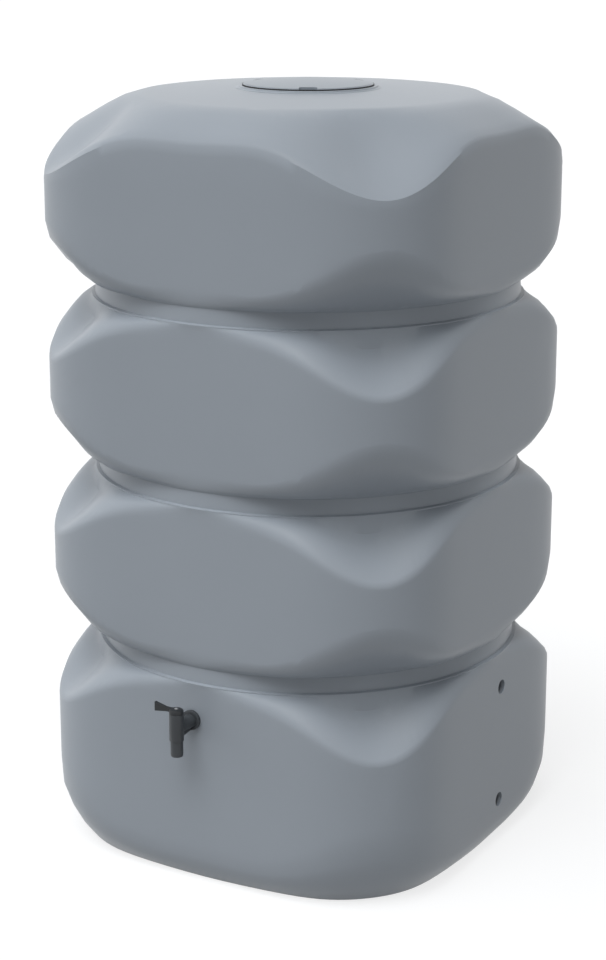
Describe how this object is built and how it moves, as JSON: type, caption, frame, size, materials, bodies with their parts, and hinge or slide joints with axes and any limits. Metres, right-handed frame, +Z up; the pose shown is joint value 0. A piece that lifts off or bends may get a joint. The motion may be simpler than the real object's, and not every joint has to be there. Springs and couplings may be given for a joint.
{
  "type": "rainwater tank",
  "caption": "Free-standing hollow rainwater tank of stacked rounded-square tiers with a screw lid, a lever tap and spare threaded ports.",
  "frame": {"origin": "middle of the foot, on the floor", "axes": "+Z up; -Y is the face with the tap, +X the face with the two spare ports"},
  "size_m": [0.7828, 0.8444, 1.395],
  "materials": {
    "tank": "satin moulded polyethylene, grey",
    "lid": "satin moulded polyethylene, grey",
    "bush": "moulded polypropylene, grey",
    "tap": "satin, dark grey",
    "tap_inner": "plain acetal, off-white",
    "lever": "satin, near black",
    "rubber": "matte black rubber",
    "steel": "stainless steel"
  },
  "bodies": {
    "tank": {"tank_body": "tank", "tap_bush": "bush", "port_bush_upper": "bush", "port_bush_lower": "bush", "tap_washer": "rubber", "tap_body": "tap", "plug_clip": "steel"},
    "lid": {"lid": "lid", "lid_seal": "rubber"},
    "tap_turn": {"tap_plug": "tap_inner", "plug_seal_lower": "rubber", "plug_seal_upper": "rubber", "tap_lever": "lever", "lever_screw": "steel"}
  },
  "joints": [
    {"name": "lid_lift", "type": "slide", "parent": "tank", "child": "lid", "axis": [0, 0, 1], "range_m": [0, 0.3]},
    {"name": "tap_lever_turn", "type": "hinge", "parent": "tank", "child": "tap_turn", "pos_m": [-0.013, -0.44, 0.33], "axis": [0, 0, 1], "range_deg": [0, 90]}
  ]
}
